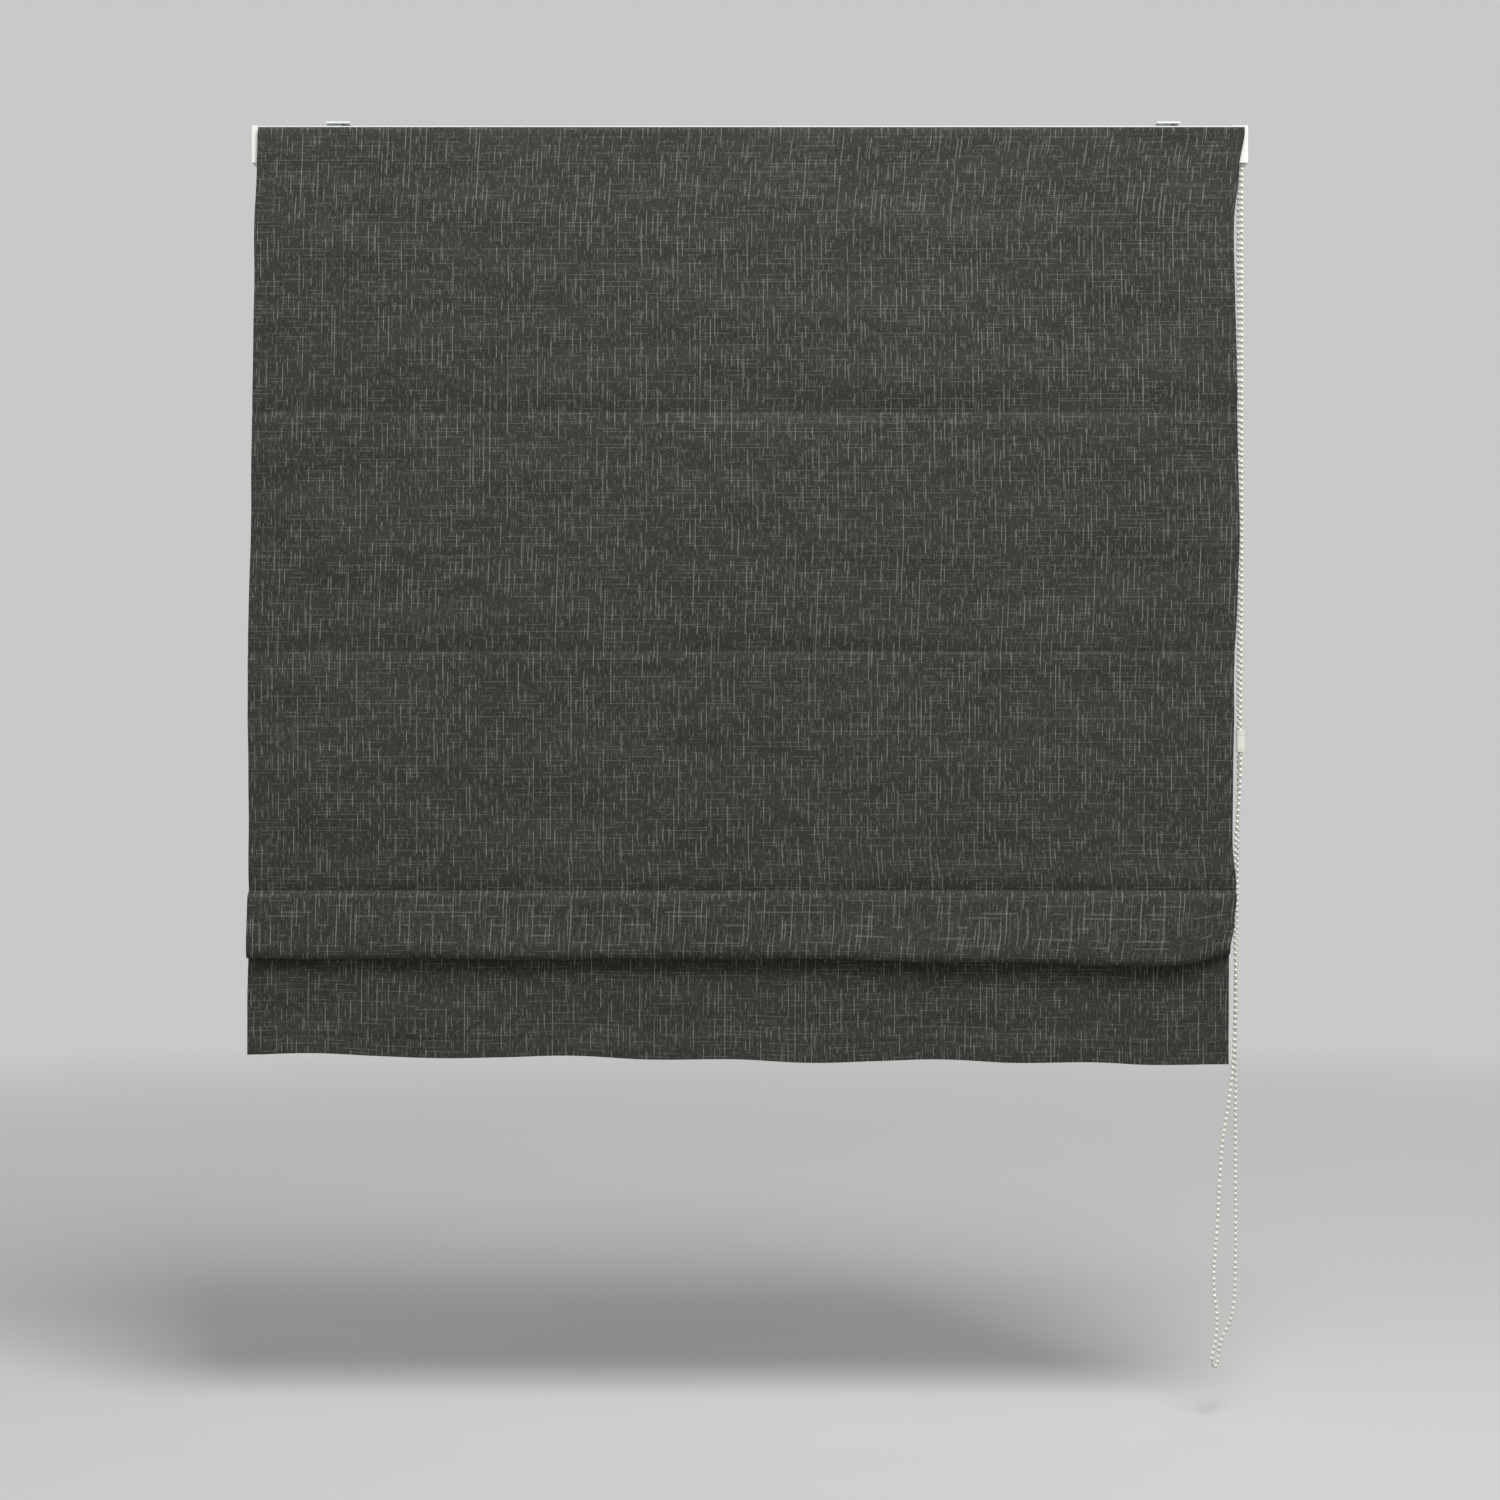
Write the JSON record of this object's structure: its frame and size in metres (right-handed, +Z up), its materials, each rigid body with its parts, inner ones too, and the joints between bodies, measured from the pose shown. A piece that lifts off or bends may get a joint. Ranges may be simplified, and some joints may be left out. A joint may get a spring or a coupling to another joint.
{
  "type": "roman blind",
  "caption": "Chain-operated Roman blind: flat slub cloth with sewn-in rods and a gathered bottom fold, hung from a ceiling-fixed headrail with a bead-chain drive.",
  "frame": {"origin": "on the ceiling plane, midway between the two bracket screw holes", "axes": "+X along the headrail towards the chain, +Y towards the window, +Z up"},
  "size_m": [1.0432, 0.0586, 1.3082],
  "materials": {
    "face_fabric": "charcoal olive slub weave, matt",
    "lining_fabric": "off-white plain-weave lining",
    "rail_metal": "white powder coat",
    "white_plastic": "white moulded plastic",
    "clear_plastic": "milky moulded plastic",
    "chain_plastic": "ivory white beads",
    "shaft_metal": "extruded bar",
    "bar_metal": "flat bar",
    "spring_steel": "bright spring wire",
    "dark_plastic": "dark acetal",
    "cord_fibre": "white braided polyester cord",
    "rod_glass_fibre": "glass-fibre rod",
    "tape_fabric": "hook and loop tape"
  },
  "bodies": {
    "headrail": {"headrail_channel": "rail_metal", "end_cap_left": "white_plastic", "shaft_bush": "dark_plastic", "control_housing": "white_plastic", "control_cover": "white_plastic", "wrap_spring": "spring_steel", "cord_cradles": "white_plastic", "hook_tape": "tape_fabric", "loop_tape": "tape_fabric", "head_face": "face_fabric", "head_lining": "lining_fabric", "bracket_left": "clear_plastic", "bracket_right": "clear_plastic", "bead_chain": "chain_plastic", "chain_connector": "chain_plastic", "lift_cords": "cord_fibre"},
    "drive": {"drive_shaft": "shaft_metal", "lift_spool_left": "white_plastic", "lift_spool_middle": "white_plastic", "lift_spool_right": "white_plastic", "wound_cords": "cord_fibre", "clutch_hub": "dark_plastic", "chain_wheel": "white_plastic", "wheel_beads": "chain_plastic"},
    "lever_left": {"bracket_lever_left": "clear_plastic"},
    "lever_right": {"bracket_lever_right": "clear_plastic"},
    "panel_1_upper": {"face_upper_1": "face_fabric", "lining_upper_1": "lining_fabric"},
    "panel_1_lower": {"face_lower_1": "face_fabric", "lining_lower_1": "lining_fabric"},
    "rod_line_1": {"rod_1": "rod_glass_fibre", "rod_pocket_1": "lining_fabric", "cord_rings_1": "white_plastic"},
    "panel_2_upper": {"face_upper_2": "face_fabric", "lining_upper_2": "lining_fabric"},
    "panel_2_lower": {"face_lower_2": "face_fabric", "lining_lower_2": "lining_fabric"},
    "rod_line_2": {"rod_2": "rod_glass_fibre", "rod_pocket_2": "lining_fabric", "cord_rings_2": "white_plastic"},
    "panel_3_upper": {"face_upper_3": "face_fabric", "lining_upper_3": "lining_fabric"},
    "panel_3_lower": {"face_lower_3": "face_fabric", "lining_lower_3": "lining_fabric"},
    "rod_line_3": {"rod_3": "rod_glass_fibre", "rod_pocket_3": "lining_fabric", "cord_rings_3": "white_plastic"},
    "fold_front": {"fold_face_front": "face_fabric", "fold_lining_front": "lining_fabric"},
    "rod_line_4": {"rod_4": "rod_glass_fibre", "rod_pocket_4": "lining_fabric", "cord_rings_4": "white_plastic", "fold_face_back": "face_fabric", "fold_lining_back": "lining_fabric", "flap_face": "face_fabric", "flap_lining": "lining_fabric", "bottom_bar": "bar_metal", "bar_caps": "white_plastic", "cord_toggles": "white_plastic", "cord_tails": "cord_fibre"}
  },
  "joints": [
    {"name": "shaft_turn", "type": "hinge", "parent": "headrail", "child": "drive", "pos_m": [0, 0, -0.025], "axis": [1, 0, 0], "range_deg": [0, 4717.73]},
    {"name": "panel_1_forward", "type": "slide", "parent": "headrail", "child": "panel_1_upper", "axis": [0, -0.9912, 0.1322], "range_m": [0, 0.0757]},
    {"name": "blind_raise", "type": "slide", "parent": "panel_1_upper", "child": "panel_1_lower", "axis": [0, 0.0654, 0.9979], "range_m": [0, 0.12226], "deforming": ["lift_cords", "cord_tails"]},
    {"name": "rod_1_rise", "type": "slide", "parent": "panel_1_lower", "child": "rod_line_1", "axis": [0, 0.5134, 0.8582], "range_m": [0, 0.13058], "deforming": ["face_lower_1", "lining_lower_1"]},
    {"name": "panel_2_forward", "type": "slide", "parent": "rod_line_1", "child": "panel_2_upper", "axis": [0, -0.9934, 0.1146], "range_m": [0, 0.05237]},
    {"name": "panel_2_turn", "type": "slide", "parent": "panel_2_upper", "child": "panel_2_lower", "axis": [0, 0.0568, 0.9984], "range_m": [0, 0.12326]},
    {"name": "rod_2_rise", "type": "slide", "parent": "panel_2_lower", "child": "rod_line_2", "axis": [0, 0.3877, 0.9218], "range_m": [0, 0.11614], "deforming": ["face_lower_2", "lining_lower_2"]},
    {"name": "panel_3_forward", "type": "slide", "parent": "rod_line_2", "child": "panel_3_upper", "axis": [0, -0.9961, 0.0879], "range_m": [0, 0.03415]},
    {"name": "panel_3_turn", "type": "slide", "parent": "panel_3_upper", "child": "panel_3_lower", "axis": [0, 0.0483, 0.9988], "range_m": [0, 0.12421]},
    {"name": "rod_3_rise", "type": "slide", "parent": "panel_3_lower", "child": "rod_line_3", "axis": [0, 0.2488, 0.9686], "range_m": [0, 0.1126], "deforming": ["face_lower_3", "lining_lower_3"]},
    {"name": "fold_flatten", "type": "slide", "parent": "rod_line_3", "child": "fold_front", "axis": [0, 1, 0], "range_m": [0, 0.01701]},
    {"name": "bottom_fold_drop", "type": "slide", "parent": "fold_front", "child": "rod_line_4", "axis": [0, -0.1501, -0.9887], "range_m": [0, 0.11328], "deforming": ["fold_face_back", "fold_lining_back"]},
    {"name": "lever_left_swing", "type": "hinge", "parent": "headrail", "child": "lever_left", "pos_m": [-0.425, 0, -0.003], "axis": [0, 0, -1], "range_deg": [0, 90]},
    {"name": "lever_right_swing", "type": "hinge", "parent": "headrail", "child": "lever_right", "pos_m": [0.445, 0, -0.003], "axis": [0, 0, -1], "range_deg": [0, 90]}
  ],
  "couplings": [
    {"joint": "panel_1_forward", "follows": "blind_raise", "ratio": 0.61887},
    {"joint": "rod_1_rise", "follows": "blind_raise", "ratio": 1.0675},
    {"joint": "panel_2_forward", "follows": "blind_raise", "ratio": 0.42814},
    {"joint": "panel_2_turn", "follows": "blind_raise", "ratio": 1.0077},
    {"joint": "rod_2_rise", "follows": "blind_raise", "ratio": 0.94942},
    {"joint": "panel_3_forward", "follows": "blind_raise", "ratio": 0.27917},
    {"joint": "panel_3_turn", "follows": "blind_raise", "ratio": 1.0154},
    {"joint": "rod_3_rise", "follows": "blind_raise", "ratio": 0.92047},
    {"joint": "shaft_turn", "follows": "blind_raise", "rad_per_m": 673.14},
    {"joint": "fold_flatten", "follows": "bottom_fold_drop", "ratio": 0.15007}
  ]
}
